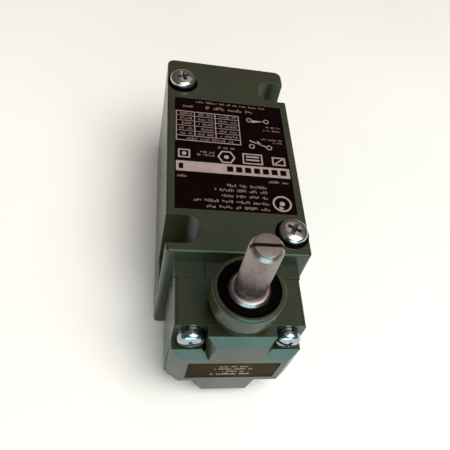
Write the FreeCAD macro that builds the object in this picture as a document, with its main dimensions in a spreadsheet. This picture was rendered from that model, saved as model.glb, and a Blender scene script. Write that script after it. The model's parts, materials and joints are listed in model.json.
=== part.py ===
"""Rotary limit switch with a plug-in body, as an assembly of separate pieces.

Row frame, in millimetres: the switch lies on its back. Z = 0 is the mounting face and +Z is the way
the shaft points. The head is at the -Y end and the conduit entry at the +Y end. The origin is the
centre of the mounting hole pattern on the mounting face.
"""
import FreeCAD, Part
import Sketcher
import math
import os
import re
from FreeCAD import Placement, Rotation, Vector

SIZES = {
    # case
    "case_wide": 40.0, "case_deep": 43.0, "head_end": -36.95, "conduit_end": 41.1,
    "hole_across": 30.2, "hole_along": 59.5,
    "corner_rad": 2.4, "head_corner_rad": 1.2, "head_back_rad": 3.0, "edge_rad": 0.6, "fit_gap": 0.2, "side_draft": 0.016,
    "lap": 1.0, "gap": 0.1,
    # base housing
    "base_deep": 15.6, "base_floor": 3.0, "base_start": -33.0, "hub_start": 24.6, "hub_top": 28.2,
    "chamber_half": 16.3, "chamber_start": -24.0, "chamber_end": 21.0,
    "conduit_rad": 10.0, "conduit_height": 13.8, "conduit_stop": 26.6,
    "passage_half": 8.5, "passage_low": 4.4, "passage_high": 13.0,
    "passage_lap": 0.5, "mount_hole_rad": 2.7, "seat_height": 20.0, "seat_rad": 4.4, "seat_stop": 20.3,
    "pocket_rad": 4.7, "gasket_thick": 0.8, "gasket_half": 20.1,
    # body housing
    "body_back": 0.4, "body_cavity_half": 16.8, "body_cavity_start": -24.0, "body_cavity_end": 23.0,
    "body_wall": 3.0, "gallery_half": 9.0, "gallery_high": 34.0,
    "web_low": -32.3, "web_high": -30.3,
    "spring_room_half": 4.2, "spring_room_low": 17.0, "spring_room_high": 33.4,
    "tab_inner": 9.3, "tab_high": 4.4, "tab_size": 7.8,
    "label_half": 17.6, "label_start": -22.95, "label_stop": 22.05, "label_sink": 0.5, "label_thick": 0.45,
    # captive screws
    "screw_rad": 2.0, "captive_head_rad": 4.15, "captive_head_high": 2.5, "captive_hole_rad": 2.3,
    "seal_rad": 4.9, "seal_thick": 0.9, "seal_sink": 0.5, "captive_low": 8.0, "captive_hub_low": 19.0,
    "keeper_rad": 3.3, "keeper_thick": 0.8, "keeper_up": 0.4, "keeper_room": 1.3,
    # shape of every screw head, as shares of its radius or height
    "dome_share": 1.35, "recess_share": 0.5, "slot_share": 0.13, "reach_share": 0.53, "well_share": 1.7,
    # head
    "head_half": 17.0, "head_wide": 34.5, "head_mid": 20.9, "head_top": -60.95, "ledge": -55.25,
    "bevel_foot": -58.3, "axis_along": -50.35,
    "boss_rad": 9.25, "boss_front": 48.9, "boss_skirt": 42.8, "boss_neck": 41.0, "boss_neck_rad": 7.9,
    "seal_bore_rad": 8.1, "seal_seat": 45.4, "seal_drop": 0.7, "seal_clear": 0.12,
    "front_bore_rad": 6.2, "rear_bore_rad": 5.6, "rear_bore_low": 6.4,
    "cam_room_half": 9.2, "cam_room_top": -58.8, "cam_room_floor": -42.0,
    "cam_room_back": 12.0, "cam_room_front": 33.2,
    "guide_half": 7.0, "guide_back": 13.5, "guide_front": 33.5, "guide_clear": 0.05, "guide_drop": 0.4,
    "foot_bump": 8.9, "foot_reach": 16.9, "foot_inner": 8.9, "foot_shelf": 8.7, "foot_side": 17.35,
    "top_bump": 6.7, "top_reach": 15.5, "top_inner": 7.7, "top_shelf": 7.6, "top_side": 14.3,
    "plate_half": 12.5, "plate_tall": 5.4, "plate_sink": 0.5, "plate_thick": 0.35,
    "head_screw_at": 12.7, "head_screw_rad": 3.5, "head_screw_high": 2.7, "head_screw_end": -34.6,
    "lock_thick": 0.9, "lock_rad": 3.3, "screw_clear_rad": 2.2,
    # shaft
    "shaft_rad": 3.97, "shaft_tip": 67.8, "shaft_rear": 7.4, "tip_chamfer": 1.2, "tip_rad": 3.1,
    "flange_rad": 5.45, "flange_low": 47.6, "flange_top": 49.2, "shoulder_rad": 4.7, "shoulder_top": 50.2,
    "drive_slot": 0.9, "drive_deep": 1.2, "bushing_clear": 0.05,
    "oring_at": 42.0, "oring_rad": 0.48, "oring_major": 3.5, "groove_rad": 3.0, "groove_half": 0.9,
    "ring_low": 31.0, "ring_high": 31.7, "ring_groove_rad": 3.3, "ring_rad": 5.6, "ring_gap": 2.4,
    "washer_low": 32.3, "washer_high": 33.1, "washer_rad": 5.8,
    "key_half": 1.0, "key_low": 2.8, "key_high": 4.9, "key_clear": 0.05,
    # cams and followers
    "cam_mean": 6.4, "cam_rise": 1.0186, "cam_half": 2.1, "cam_turn": 80.0, "cam_over": 20.0,
    "cam_ccw_at": 20.6, "cam_cw_at": 28.6,
    "roller_rad": 2.5, "roller_gap": 0.15, "roller_half": 1.6, "roller_pin_rad": 0.9, "roller_clear": 0.05,
    "fork_half": 3.5, "fork_slot_half": 1.75, "fork_above": 1.3, "fork_bottom": -37.6,
    "stem_rad": 1.5, "stem_root": 0.5, "stem_end": -29.0, "stem_clear": 0.1, "window_clear": 0.12,
    "wire_rad": 0.3, "follower_coil": 2.4, "follower_pitch": 1.4,
    "return_wire": 0.45, "return_coil": 5.2, "return_pitch": 1.15, "return_low": 12.8, "return_high": 16.9,
    # contact block
    "block_half": 14.4, "block_start": -23.6, "block_end": 14.4, "block_back": 17.2, "block_front": 36.4,
    "block_wall": 1.5, "block_floor": 1.6, "cover_thick": 1.5,
    "ear_end": 20.9, "ear_thick": 2.6, "ear_screw_x": 10.5, "ear_screw_y": 17.6,
    "ear_screw_rad": 1.5, "ear_hole_rad": 1.7, "post_rad": 3.0, "post_hole_top": 28.0,
    "block_head_rad": 2.6, "block_head_high": 1.7, "block_screw_long": 9.0,
    "carrier_half": 3.0, "carrier_start": -21.6, "carrier_end": 6.0, "carrier_low": 19.6,
    "carrier_high": 28.6,
    "neck_half": 2.3, "neck_low": 21.6, "neck_high": 26.6,
    "cap_top": -27.3, "cap_under": -25.4, "cap_half": 3.6, "cap_low": 17.6, "cap_high": 30.6,
    "bridge_half": 8.6, "bridge_low": 22.1, "bridge_high": 26.1, "bridge_thick": 0.8,
    "bridge_at": 24.1, "closed_bar": -11.0, "open_bar": 0.0, "bridge_room": 2.2,
    "pad_at": 6.6, "pad_rad": 1.5, "pad_thick": 0.7, "pad_fixed": 0.65, "pad_sink": 0.4,
    "pressure_coil": 1.3, "pressure_pitch": 0.7, "pressure_wire": 0.2, "carrier_coil": 2.2,
    "carrier_pitch": 1.5,
    "strip_inner": 5.0, "strip_outer": 12.4, "strip_thick": 1.0, "strip_high": 27.0, "blade_inner": 9.6,
    "blade_low": 8.6, "closed_strip": -13.4, "open_strip": 3.8,
    # wiring terminals
    "board_half": 15.9, "board_along": 17.4, "board_top": 5.0, "ridge_inner": 7.0, "ridge_top": 12.0,
    "terminal_x": 11.0, "terminal_pitch": 17.2, "terminal_first": -5.9, "jaw_thick": 0.6, "jaw_low": 6.0,
    "blade_back": 7.0, "jaw_room": 1.3, "jaw_clear": 0.05,
    "plate_wide": 2.6, "terminal_plate": 0.8, "terminal_reach": 3.3, "slot_half": 2.9,
    "clamp_half": 2.8, "clamp_low": 13.0, "clamp_high": 14.0,
    "terminal_screw_rad": 1.6, "terminal_head_rad": 2.9, "terminal_head_high": 1.8, "terminal_screw_low": 7.0,
    "ground_along": -20.9, "ground_boss_rad": 3.4, "ground_boss_top": 6.0, "ground_head_rad": 3.1,
    "ground_head_high": 1.9, "ground_low": 1.6, "ground_rad": 1.75,
    # head gasket
    "seal_frame_half": 8.2, "seal_frame_inner": 6.0, "seal_frame_back": 14.2, "seal_frame_front": 35.4,
    "seal_frame_wide": 2.0, "seal_frame_deep": 0.8,
}

WORD = re.compile(r"[a-z][a-z_]{2,}")
TURNED = {"x": Rotation(Vector(0, 1, 0), 90), "y": Rotation(Vector(1, 0, 0), -90), "z": Rotation()}
FACING_HEAD = Rotation(Vector(1, 0, 0), 90)
FACING_BACK = Rotation(Vector(1, 0, 0), 180)
CAPTIVE_TURN = Rotation(Vector(0, 0, 1), 35)
CAM_STEPS = 24

doc = FreeCAD.newDocument("LimitSwitch")
nodes = []


def make_sheet():
    """Spreadsheet of the driving dimensions, one alias to a row."""
    sheet = doc.addObject("Spreadsheet::Sheet", "Dims")
    for row, (alias, value) in enumerate(SIZES.items(), 1):
        sheet.set(f"A{row}", alias)
        sheet.set(f"B{row}", str(value))
        sheet.setAlias(f"B{row}", alias)
    doc.recompute()


def formula(text):
    """Expression with every alias pointed at the sheet."""
    return WORD.sub(lambda word: "Dims." + word.group() if word.group() in SIZES else word.group(), str(text))


def bind(thing, path, text):
    thing.setExpression(path, formula(text))


def node(name, thing):
    """Register a finished sub-part under its node name."""
    thing.Label = name
    nodes.append(thing)
    return thing


# ---------------------------------------------------------------- building blocks

def block(name, across, along, up):
    """Box between (low, high) formulas on each axis."""
    box = doc.addObject("Part::Box", name)
    for axis, size, (low, high) in zip("xyz", ("Length", "Width", "Height"), (across, along, up)):
        bind(box, f"Placement.Base.{axis}", low)
        bind(box, size, f"({high}) - ({low})")
    return box


def drafted(name, wide, top, along, up):
    """Box whose two long sides lean outwards towards the back; it is wide across at height top."""
    wedge = doc.addObject("Part::Wedge", name)
    wedge.Placement = Placement(Vector(), FACING_HEAD)
    for number, level in (("", up[0]), ("2", up[1])):
        half = f"({wide} / 2 + ({top} - ({level})) * side_draft)"
        bind(wedge, f"X{number}min", f"-{half}")
        bind(wedge, f"X{number}max", half)
        bind(wedge, f"Z{number}min", f"-({along[1]})")
        bind(wedge, f"Z{number}max", f"-({along[0]})")
    bind(wedge, "Ymin", up[0])
    bind(wedge, "Ymax", up[1])
    return wedge


def rod(name, axis, centre, span, radius):
    """Cylinder along an axis; centre holds the two other coordinates in X, Y, Z order."""
    cylinder = doc.addObject("Part::Cylinder", name)
    cylinder.Placement = Placement(Vector(), TURNED[axis])
    others = [letter for letter in "xyz" if letter != axis]
    bind(cylinder, f"Placement.Base.{others[0]}", centre[0])
    bind(cylinder, f"Placement.Base.{others[1]}", centre[1])
    bind(cylinder, f"Placement.Base.{axis}", span[0])
    bind(cylinder, "Radius", radius)
    bind(cylinder, "Height", f"({span[1]}) - ({span[0]})")
    return cylinder


def taper(name, centre, span, low_radius, high_radius):
    """Cone along Z."""
    cone = doc.addObject("Part::Cone", name)
    bind(cone, "Placement.Base.x", centre[0])
    bind(cone, "Placement.Base.y", centre[1])
    bind(cone, "Placement.Base.z", span[0])
    bind(cone, "Radius1", low_radius)
    bind(cone, "Radius2", high_radius)
    bind(cone, "Height", f"({span[1]}) - ({span[0]})")
    return cone


def fuse(name, *shapes):
    joined = doc.addObject("Part::MultiFuse", name)
    joined.Shapes = list(shapes)
    return joined


def cut(name, base, *tools):
    result = doc.addObject("Part::Cut", name)
    result.Base = base
    result.Tool = tools[0] if len(tools) == 1 else fuse(name + "_cutters", *tools)
    return result


def group(name, shapes):
    """Several separate solids kept as one object."""
    gathered = doc.addObject("Part::Compound", name)
    gathered.Links = list(shapes)
    return gathered


def tube(name, axis, centre, span, outer, inner):
    return cut(name, rod(name + "_outer", axis, centre, span, outer),
               rod(name + "_bore", axis, centre, span, inner))


def rounded(name, base, radius_of):
    """Fillet the edges to which radius_of gives a radius."""
    doc.recompute()
    fillet = doc.addObject("Part::Fillet", name)
    fillet.Base = base
    sized = [(index, radius_of(edge)) for index, edge in enumerate(base.Shape.Edges, 1)]
    fillet.Edges = [(index, radius, radius) for index, radius in sized if radius]
    return fillet


def runs_along(edge, axis):
    start, end = edge.Vertexes[0].Point, edge.Vertexes[-1].Point
    return abs((end - start).normalize().dot(axis)) > 0.999


def side_pocket(name, side, up, radius):
    """U-shaped room round a mounting hole, open to the nearest side of the case."""
    sign = "-" if side < 0 else ""
    centre = (f"{sign}hole_across / 2", f"{sign}hole_along / 2")
    outward = ("-case_wide", centre[0]) if side < 0 else (centre[0], "case_wide")
    along = (f"{centre[1]} - ({radius})", f"{centre[1]} + ({radius})")
    return fuse(name, rod(name + "_round", "z", centre, up, radius),
                block(name + "_mouth", outward, along, up))


def pan_screw(name, head_rad, head_high, shank_rad, shank_long, place, turn, cross=True):
    """Pan-head screw with a slot, and a cross recess if asked; the head's underside is at place."""
    head = rod(name + "_head", "z", (0, 0), (0, head_high), head_rad)
    dome = doc.addObject("Part::Sphere", name + "_dome")
    bind(dome, "Radius", f"({head_rad}) * dome_share")
    bind(dome, "Placement.Base.z", f"({head_high}) - ({head_rad}) * dome_share")
    crowned = doc.addObject("Part::MultiCommon", name + "_crowned")
    crowned.Shapes = [head, dome]
    shank = rod(name + "_shank", "z", (0, 0), (f"-({shank_long})", 0), shank_rad)
    whole = fuse(name + "_whole", crowned, shank)
    floor = f"({head_high}) * recess_share"
    reach, half = f"({head_rad}) * reach_share", f"({head_rad}) * slot_share"
    cutters = [block(name + "_slot", (f"-({head_rad})", head_rad), (f"-({half})", half),
                     (floor, "case_deep"))]
    if cross:
        cutters.append(block(name + "_cross", (f"-({half})", half), (f"-({reach})", reach),
                             (floor, "case_deep")))
        cutters.append(rod(name + "_well", "z", (0, 0), (floor, "case_deep"), f"({half}) * well_share"))
    screw = cut(name, whole, *cutters)
    screw.Placement = Placement(Vector(), turn)
    for axis, text in zip("xyz", place):
        bind(screw, f"Placement.Base.{axis}", text)
    return screw


def coil(name, axis, centre, span, mean_rad, pitch, wire):
    """Coil spring whose wire stays inside span."""
    helix = doc.addObject("Part::Helix", name + "_path")
    bind(helix, "Radius", mean_rad)
    bind(helix, "Pitch", pitch)
    bind(helix, "Height", f"({span[1]}) - ({span[0]}) - 2 * ({wire})")
    helix.SegmentLength = 1  # one turn in each swept face
    section = doc.addObject("Part::Circle", name + "_wire")
    bind(section, "Radius", wire)
    section.Placement = Placement(Vector(), Rotation(Vector(1, 0, 0), 90))
    bind(section, "Placement.Base.x", mean_rad)
    doc.recompute()
    spring = doc.addObject("Part::Sweep", name)
    spring.Sections = [section]
    spring.Spine = (helix, [f"Edge{index}" for index in range(1, len(helix.Shape.Edges) + 1)])
    spring.Solid = True
    spring.Frenet = True
    spring.Placement = Placement(Vector(), TURNED[axis])
    others = [letter for letter in "xyz" if letter != axis]
    bind(spring, f"Placement.Base.{others[0]}", centre[0])
    bind(spring, f"Placement.Base.{others[1]}", centre[1])
    bind(spring, f"Placement.Base.{axis}", f"({span[0]}) + ({wire})")
    return spring


# ---------------------------------------------------------------- base half

THROUGH_AT = ("-hole_across / 2", "-hole_along / 2")
THROUGH_HUB_AT = ("hole_across / 2", "hole_along / 2")
CAPTIVE_AT = ("hole_across / 2", "-hole_along / 2")
CAPTIVE_HUB_AT = ("-hole_across / 2", "hole_along / 2")


def case_block(name, along, up):
    return drafted(name, "case_wide", "case_deep", along, up)


def case_corner(edge):
    """Radii of the base's upright edges: wide at the conduit end, small at the head end."""
    if not runs_along(edge, Vector(0, 0, 1)):
        return 0
    if edge.CenterOfMass.y > SIZES["hub_start"] + SIZES["gap"]:
        return SIZES["corner_rad"]
    return SIZES["head_corner_rad"] if edge.CenterOfMass.y < SIZES["base_start"] + SIZES["gap"] else 0


def base_housing():
    slab = rounded("base_slab", case_block("base_block", ("base_start", "conduit_end"), ("0", "base_deep")),
                   case_corner)
    hub = rounded("base_hub", case_block("hub_block", ("hub_start", "conduit_end"), ("0", "hub_top")),
                  case_corner)
    seat = side_pocket("seat_boss", -1, ("base_deep", "seat_height"), "seat_rad")
    seat_trim = block("seat_trim", ("-case_wide", "-seat_stop"), ("head_end", 0), (0, "case_deep"))
    ground_boss = rod("ground_boss", "z", (0, "ground_along"), ("base_floor - lap", "ground_boss_top"),
                      "ground_boss_rad")
    chamber = block("chamber", ("-chamber_half", "chamber_half"), ("chamber_start", "chamber_end"),
                    ("base_floor", "base_deep + lap"))
    passage = block("passage", ("-passage_half", "passage_half"),
                    ("chamber_end - lap", "conduit_stop + passage_lap"), ("passage_low", "passage_high"))
    conduit = rod("conduit", "y", (0, "conduit_height"), ("conduit_stop", "conduit_end + lap"), "conduit_rad")
    hollow = cut("base_hollow", fuse("base_solid", slab, hub, cut("seat", seat, seat_trim)),
                 chamber, passage, conduit)
    holes = [
        rod("through_hole", "z", THROUGH_AT, ("-lap", "seat_height + lap"), "mount_hole_rad"),
        rod("through_hub_hole", "z", THROUGH_HUB_AT, ("-lap", "seat_height + lap"), "mount_hole_rad"),
        side_pocket("hub_pocket", 1, ("seat_height", "hub_top + lap"), "pocket_rad"),
        rod("captive_thread", "z", CAPTIVE_AT, ("captive_low - lap", "base_deep + lap"), "screw_rad"),
        rod("captive_hub_thread", "z", CAPTIVE_HUB_AT, ("captive_hub_low - lap", "hub_top + lap"),
            "screw_rad"),
        rod("ground_thread", "z", (0, "ground_along"), ("ground_low - gap", "ground_boss_top + lap"),
            "ground_rad"),
    ]
    with_boss = fuse("base_with_boss", hollow, ground_boss)
    node("base_housing", cut("base_housing", with_boss, *holes))


def base_gasket():
    outer = block("gasket_outer", ("-gasket_half", "gasket_half"),
                  ("base_start + fit_gap", "hub_start - fit_gap"), ("base_deep", "base_deep + gasket_thick"))
    inner = block("gasket_inner", ("-chamber_half", "chamber_half"), ("chamber_start", "chamber_end"),
                  (0, "case_deep"))
    hole = rod("gasket_hole", "z", CAPTIVE_AT, (0, "case_deep"), "captive_hole_rad + fit_gap")
    notch = side_pocket("gasket_notch", -1, (0, "case_deep"), "seat_rad + fit_gap")
    node("base_gasket", cut("base_gasket", outer, inner, hole, notch))


def terminal_board():
    """Floor plate, and the two strips on it that hold the terminals."""
    along = ("-board_along", "board_along")
    node("terminal_board", block("terminal_board", ("-board_half", "board_half"), along,
                                 ("base_floor", "board_top")))
    strips = {"left": block("strip_left", ("-board_half", "-ridge_inner"), along, ("board_top", "ridge_top")),
              "right": block("strip_right", ("ridge_inner", "board_half"), along, ("board_top", "ridge_top"))}
    cutters = {"left": [], "right": []}
    for label, x, first in terminal_places():
        blade = f"{first} - blade_back"
        cutters[label.split("_")[1]] += [
            rod(f"terminal_thread_{label}", "z", (x, first), ("terminal_screw_low - fit_gap", "case_deep"),
                "terminal_screw_rad"),
            block(f"jaw_slot_{label}", (f"{x} - slot_half", f"{x} + slot_half"),
                  (f"{blade} - jaw_room", f"{blade} + jaw_room"), ("jaw_low - gap", "case_deep"))]
    drilled = [cut(f"terminal_strip_{side}", strips[side], *cutters[side]) for side in strips]
    node("terminal_block", group("terminal_block", drilled))


def terminal_places():
    """Label, X formula and Y formula of each wiring terminal's screw."""
    places = []
    for row, along in (("closed", "terminal_first"), ("open", "(terminal_first + terminal_pitch)")):
        places.append((f"{row}_left", "-terminal_x", along))
        places.append((f"{row}_right", "terminal_x", along))
    return places


def terminals():
    """Socket terminals with spring jaws, their saddle clamps and their screws."""
    sockets, clamps, screws = [], [], []
    for label, x, along in terminal_places():
        across = (f"{x} - plate_wide", f"{x} + plate_wide")
        blade = f"{along} - blade_back"
        near = (f"{blade} - strip_thick / 2 - jaw_clear - jaw_thick",
                f"{blade} - strip_thick / 2 - jaw_clear")
        far = (f"{blade} + strip_thick / 2 + jaw_clear", f"{blade} + strip_thick / 2 + jaw_clear + jaw_thick")
        leaves = [block(f"leaf_near_{label}", across, near, ("jaw_low", "ridge_top + terminal_plate")),
                  block(f"leaf_far_{label}", across, far, ("jaw_low", "ridge_top + terminal_plate")),
                  block(f"jaw_floor_{label}", across, (near[0], far[1]), ("jaw_low", "jaw_low + jaw_thick")),
                  block(f"tongue_{label}", across, (far[0], f"{along} + terminal_reach"),
                        ("ridge_top", "ridge_top + terminal_plate"))]
        hole = rod(f"socket_hole_{label}", "z", (x, along), (0, "case_deep"), "terminal_screw_rad")
        sockets.append(cut(f"socket_{label}", fuse(f"socket_solid_{label}", *leaves), hole))
        plate = block(f"clamp_plate_{label}", (f"{x} - clamp_half", f"{x} + clamp_half"),
                      (f"{along} - clamp_half", f"{along} + clamp_half"), ("clamp_low", "clamp_high"))
        clamps.append(cut(f"clamp_{label}", plate, rod(f"clamp_hole_{label}", "z", (x, along),
                                                       (0, "case_deep"),
                                                       "terminal_screw_rad")))
        screws.append(pan_screw(f"terminal_screw_{label}", "terminal_head_rad", "terminal_head_high",
                                "terminal_screw_rad", "clamp_high - terminal_screw_low",
                                (x, along, "clamp_high"),
                                Rotation()))
    node("socket_terminals", group("socket_terminals", sockets))
    node("saddle_clamps", group("saddle_clamps", clamps))
    node("terminal_screws", group("terminal_screws", screws))


def ground_screw():
    node("ground_screw", pan_screw("ground_screw", "ground_head_rad", "ground_head_high", "ground_rad",
                                   "ground_boss_top - ground_low", (0, "ground_along", "ground_boss_top"),
                                   Rotation()))


# ---------------------------------------------------------------- body half

def shell_edge(edge):
    """Radii of the body shell: upright corners, then the rim of the front face."""
    if runs_along(edge, Vector(0, 0, 1)):
        return SIZES["corner_rad"] if edge.CenterOfMass.y > 0 else SIZES["head_corner_rad"]
    return SIZES["edge_rad"] if edge.CenterOfMass.z > SIZES["case_deep"] - SIZES["gap"] else 0


def tab_edge(edge):
    """Radius of a back tab's outer corner, which is the head's."""
    center = edge.CenterOfMass
    outer = abs(center.x) > SIZES["tab_inner"] + SIZES["gap"]
    low = center.z < SIZES["head_mid"] - SIZES["head_half"] + SIZES["gap"]
    return SIZES["head_back_rad"] if runs_along(edge, Vector(0, 1, 0)) and outer and low else 0


def platform_edge(edge):
    """Radius of the upright corners of the case's head end, behind the shell's."""
    at_head = edge.CenterOfMass.y < SIZES["head_end"] + SIZES["gap"]
    return SIZES["head_corner_rad"] if runs_along(edge, Vector(0, 0, 1)) and at_head else 0


def locating_tabs():
    """Square bosses at the corners of the head, which locate it and take its screws."""
    tabs = []
    for side, across in (("left", ("-head_wide / 2", "-tab_inner")),
                         ("right", ("tab_inner", "head_wide / 2"))):
        for end, up in (("back", ("head_mid - head_half", "head_mid - head_half + tab_size")),
                        ("front", ("head_mid + head_half - tab_size", "head_mid + head_half"))):
            tab = block(f"tab_{side}_{end}", across, ("head_end - tab_high", "head_end + lap"), up)
            tabs.append(rounded(f"tab_{side}_{end}_round", tab, tab_edge) if end == "back" else tab)
    return tabs


def head_screw_places():
    return [(f"{side}_{end}", x, f"head_mid {sign} head_screw_at")
            for side, x in (("left", "-head_screw_at"), ("right", "head_screw_at"))
            for end, sign in (("back", "-"), ("front", "+"))]


def body_housing():
    body_low = "base_deep + gasket_thick"
    shell = rounded("shell", case_block("shell_block", ("head_end", "conduit_end"), (body_low, "case_deep")),
                    shell_edge)
    hub_room = block("hub_room", ("-case_wide", "case_wide"), ("hub_start - fit_gap", "conduit_end + lap"),
                     (0, "hub_top + fit_gap"))
    platform = rounded("platform", case_block("platform_block", ("head_end", "base_start - fit_gap"),
                                              ("body_back", f"{body_low} + lap")), platform_edge)
    cavity = block("body_cavity", ("-body_cavity_half", "body_cavity_half"),
                   ("body_cavity_start", "body_cavity_end"), (0, "case_deep - body_wall"))
    gallery = block("gallery", ("-gallery_half", "gallery_half"), ("web_high", "body_cavity_start + lap"),
                    (body_low, "gallery_high"))
    spring_room = block("spring_room", ("-spring_room_half", "spring_room_half"),
                        ("head_end - lap", "web_low"),
                        ("spring_room_low", "spring_room_high"))
    hollow = cut("body_hollow", fuse("body_solid", cut("shell_stepped", shell, hub_room), platform,
                                     *locating_tabs()), cavity, gallery, spring_room)
    posts = [rod(f"post_{side}", "z", (x, "ear_screw_y"), ("block_back + ear_thick", "case_deep - lap"),
                 "post_rad")
             for side, x in (("left", "-ear_screw_x"), ("right", "ear_screw_x"))]
    holes = [rod(f"post_hole_{side}", "z", (x, "ear_screw_y"), (0, "post_hole_top"), "ear_screw_rad")
             for side, x in (("left", "-ear_screw_x"), ("right", "ear_screw_x"))]
    for label, height in (("ccw", "cam_ccw_at"), ("cw", "cam_cw_at")):
        holes.append(rod(f"stem_hole_{label}", "y", (0, height), ("web_low - lap", "web_high + lap"),
                         "stem_rad + stem_clear"))
    for label, x, height in head_screw_places():
        holes.append(rod(f"head_thread_{label}", "y", (x, height),
                         ("head_end - tab_high - lap", "head_screw_end + fit_gap"), "screw_rad"))
    holes += [side_pocket("body_pocket", -1, ("base_deep - fit_gap", "case_deep + lap"), "pocket_rad"),
              side_pocket("body_hub_pocket", 1, ("hub_top", "case_deep + lap"), "pocket_rad")]
    for label, at, low in (("plain", CAPTIVE_AT, "base_deep + gasket_thick"),
                           ("hub", CAPTIVE_HUB_AT, "hub_top")):
        holes.append(rod(f"captive_hole_{label}", "z", at, (f"{low} - lap", "case_deep + lap"),
                         "captive_hole_rad"))
        holes.append(rod(f"keeper_room_{label}", "z", at, (f"{low} - lap", f"{low} + keeper_room"),
                         "keeper_rad + fit_gap"))
        holes.append(rod(f"seal_room_{label}", "z", at, ("case_deep - seal_sink", "case_deep + lap"),
                         "seal_rad + gap"))
    holes.append(block("label_recess", ("-label_half - gap", "label_half + gap"),
                       ("label_start - gap", "label_stop + gap"),
                       ("case_deep - label_sink", "case_deep + lap")))
    holes.append(seal_frame("seal_groove", "head_end - lap"))
    node("body_housing", cut("body_housing", fuse("body_with_posts", hollow, *posts), *holes))


def seal_frame(name, low):
    """Flat rectangular ring on the head's seat, from low down to the groove's floor."""
    span = (low, "head_end + seal_frame_deep")
    outer = block(name + "_outer", ("-seal_frame_half", "seal_frame_half"), span,
                  ("seal_frame_back", "seal_frame_front"))
    inner = block(name + "_inner", ("-seal_frame_inner", "seal_frame_inner"),
                  ("head_end - 2 * lap", "web_low"),
                  ("seal_frame_back + seal_frame_wide", "seal_frame_front - seal_frame_wide"))
    return cut(name, outer, inner)


def label_plate():
    node("label_plate", block("label_plate", ("-label_half", "label_half"), ("label_start", "label_stop"),
                              ("case_deep - label_sink", "case_deep - label_sink + label_thick")))


def captive_screws():
    """Two screws that hold the body to the base, their seals and the rings that keep them in the body."""
    screws, seals, keepers = [], [], []
    for label, at, end, low in (("plain", CAPTIVE_AT, "captive_low", "base_deep + gasket_thick"),
                                ("hub", CAPTIVE_HUB_AT, "captive_hub_low", "hub_top")):
        under = "case_deep - seal_sink + seal_thick"
        screws.append(pan_screw(f"captive_{label}", "captive_head_rad", "captive_head_high", "screw_rad",
                                f"{under} - {end}", (at[0], at[1], under), CAPTIVE_TURN))
        seals.append(tube(f"captive_seal_{label}", "z", at, ("case_deep - seal_sink", under), "seal_rad",
                          "screw_rad"))
        keepers.append(tube(f"keeper_{label}", "z", at,
                            (f"{low} + keeper_up", f"{low} + keeper_up + keeper_thick"),
                            "keeper_rad", "screw_rad"))
    node("captive_screws", group("captive_screws", screws))
    node("captive_screw_seals", group("captive_screw_seals", seals))
    node("captive_screw_keepers", group("captive_screw_keepers", keepers))


# ---------------------------------------------------------------- contact block

def contact_case():
    outer = block("case_outer", ("-block_half", "block_half"), ("block_start", "block_end"),
                  ("block_back", "block_front"))
    ears = block("case_ears", ("-block_half", "block_half"), ("block_end - lap", "ear_end"),
                 ("block_back", "block_back + ear_thick"))
    room = block("case_room", ("-block_half + block_wall", "block_half - block_wall"),
                 ("block_start + block_wall", "block_end - block_wall"),
                 ("block_back + block_floor", "case_deep"))
    neck = block("neck_hole", ("-neck_half - fit_gap", "neck_half + fit_gap"),
                 ("block_start - lap", "carrier_start"), ("neck_low - fit_gap", "neck_high + fit_gap"))
    cutters = [room, neck]
    for side in ("-", ""):
        cutters.append(rod("ear_hole", "z", (f"{side}ear_screw_x", "ear_screw_y"), (0, "case_deep"),
                           "ear_hole_rad"))
        for row in ("closed_strip", "open_strip"):
            span = sorted_span(side, "blade_inner - gap", "strip_outer + gap")
            cutters.append(block("blade_slot", span, (f"{row} - gap", f"{row} + strip_thick + gap"),
                                 (0, "block_back + block_floor + lap")))
    node("contact_case", cut("contact_case", fuse("case_solid", outer, ears), *cutters))
    node("contact_cover", block("contact_cover", ("-block_half", "block_half"), ("block_start", "block_end"),
                                ("block_front", "block_front + cover_thick")))


def sorted_span(side, inner, outer):
    """X span of something on the left (side "-") or on the right."""
    return (f"-({outer})", f"-({inner})") if side else (inner, outer)


def contact_block_screws():
    screws = [pan_screw("block_screw", "block_head_rad", "block_head_high", "ear_screw_rad",
                        "block_screw_long",
                         (x, "ear_screw_y", "block_back"), FACING_BACK)
               for x in ("-ear_screw_x", "ear_screw_x")]
    node("contact_block_screws", group("contact_block_screws", screws))


def fixed_contacts(name, strip_low, pad_span):
    """Pair of L-shaped strips: a contact pad inside the block, and a blade that plugs into the base."""
    strips = []
    for side in ("-", ""):
        along = (strip_low, f"{strip_low} + strip_thick")
        arm = block("contact_arm", sorted_span(side, "strip_inner", "strip_outer"), along,
                    ("block_back + block_floor", "strip_high"))
        blade = block("contact_blade", sorted_span(side, "blade_inner", "strip_outer"), along,
                      ("blade_low", "strip_high"))
        pad = rod("fixed_pad", "y", (f"{side}pad_at", "bridge_at"), pad_span, "pad_rad")
        strips.append(fuse("contact_strip", arm, blade, pad))
    node(name, group(name, strips))


def bridge_contact(name, bar_low, pad_span):
    """Moving bar with a pad at each end."""
    bar = block("bridge_bar", ("-bridge_half", "bridge_half"), (bar_low, f"{bar_low} + bridge_thick"),
                ("bridge_low", "bridge_high"))
    pads = [rod("moving_pad", "y", (f"{side}pad_at", "bridge_at"), pad_span, "pad_rad") for side in ("-", "")]
    node(name, fuse(name, bar, *pads))


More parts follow.
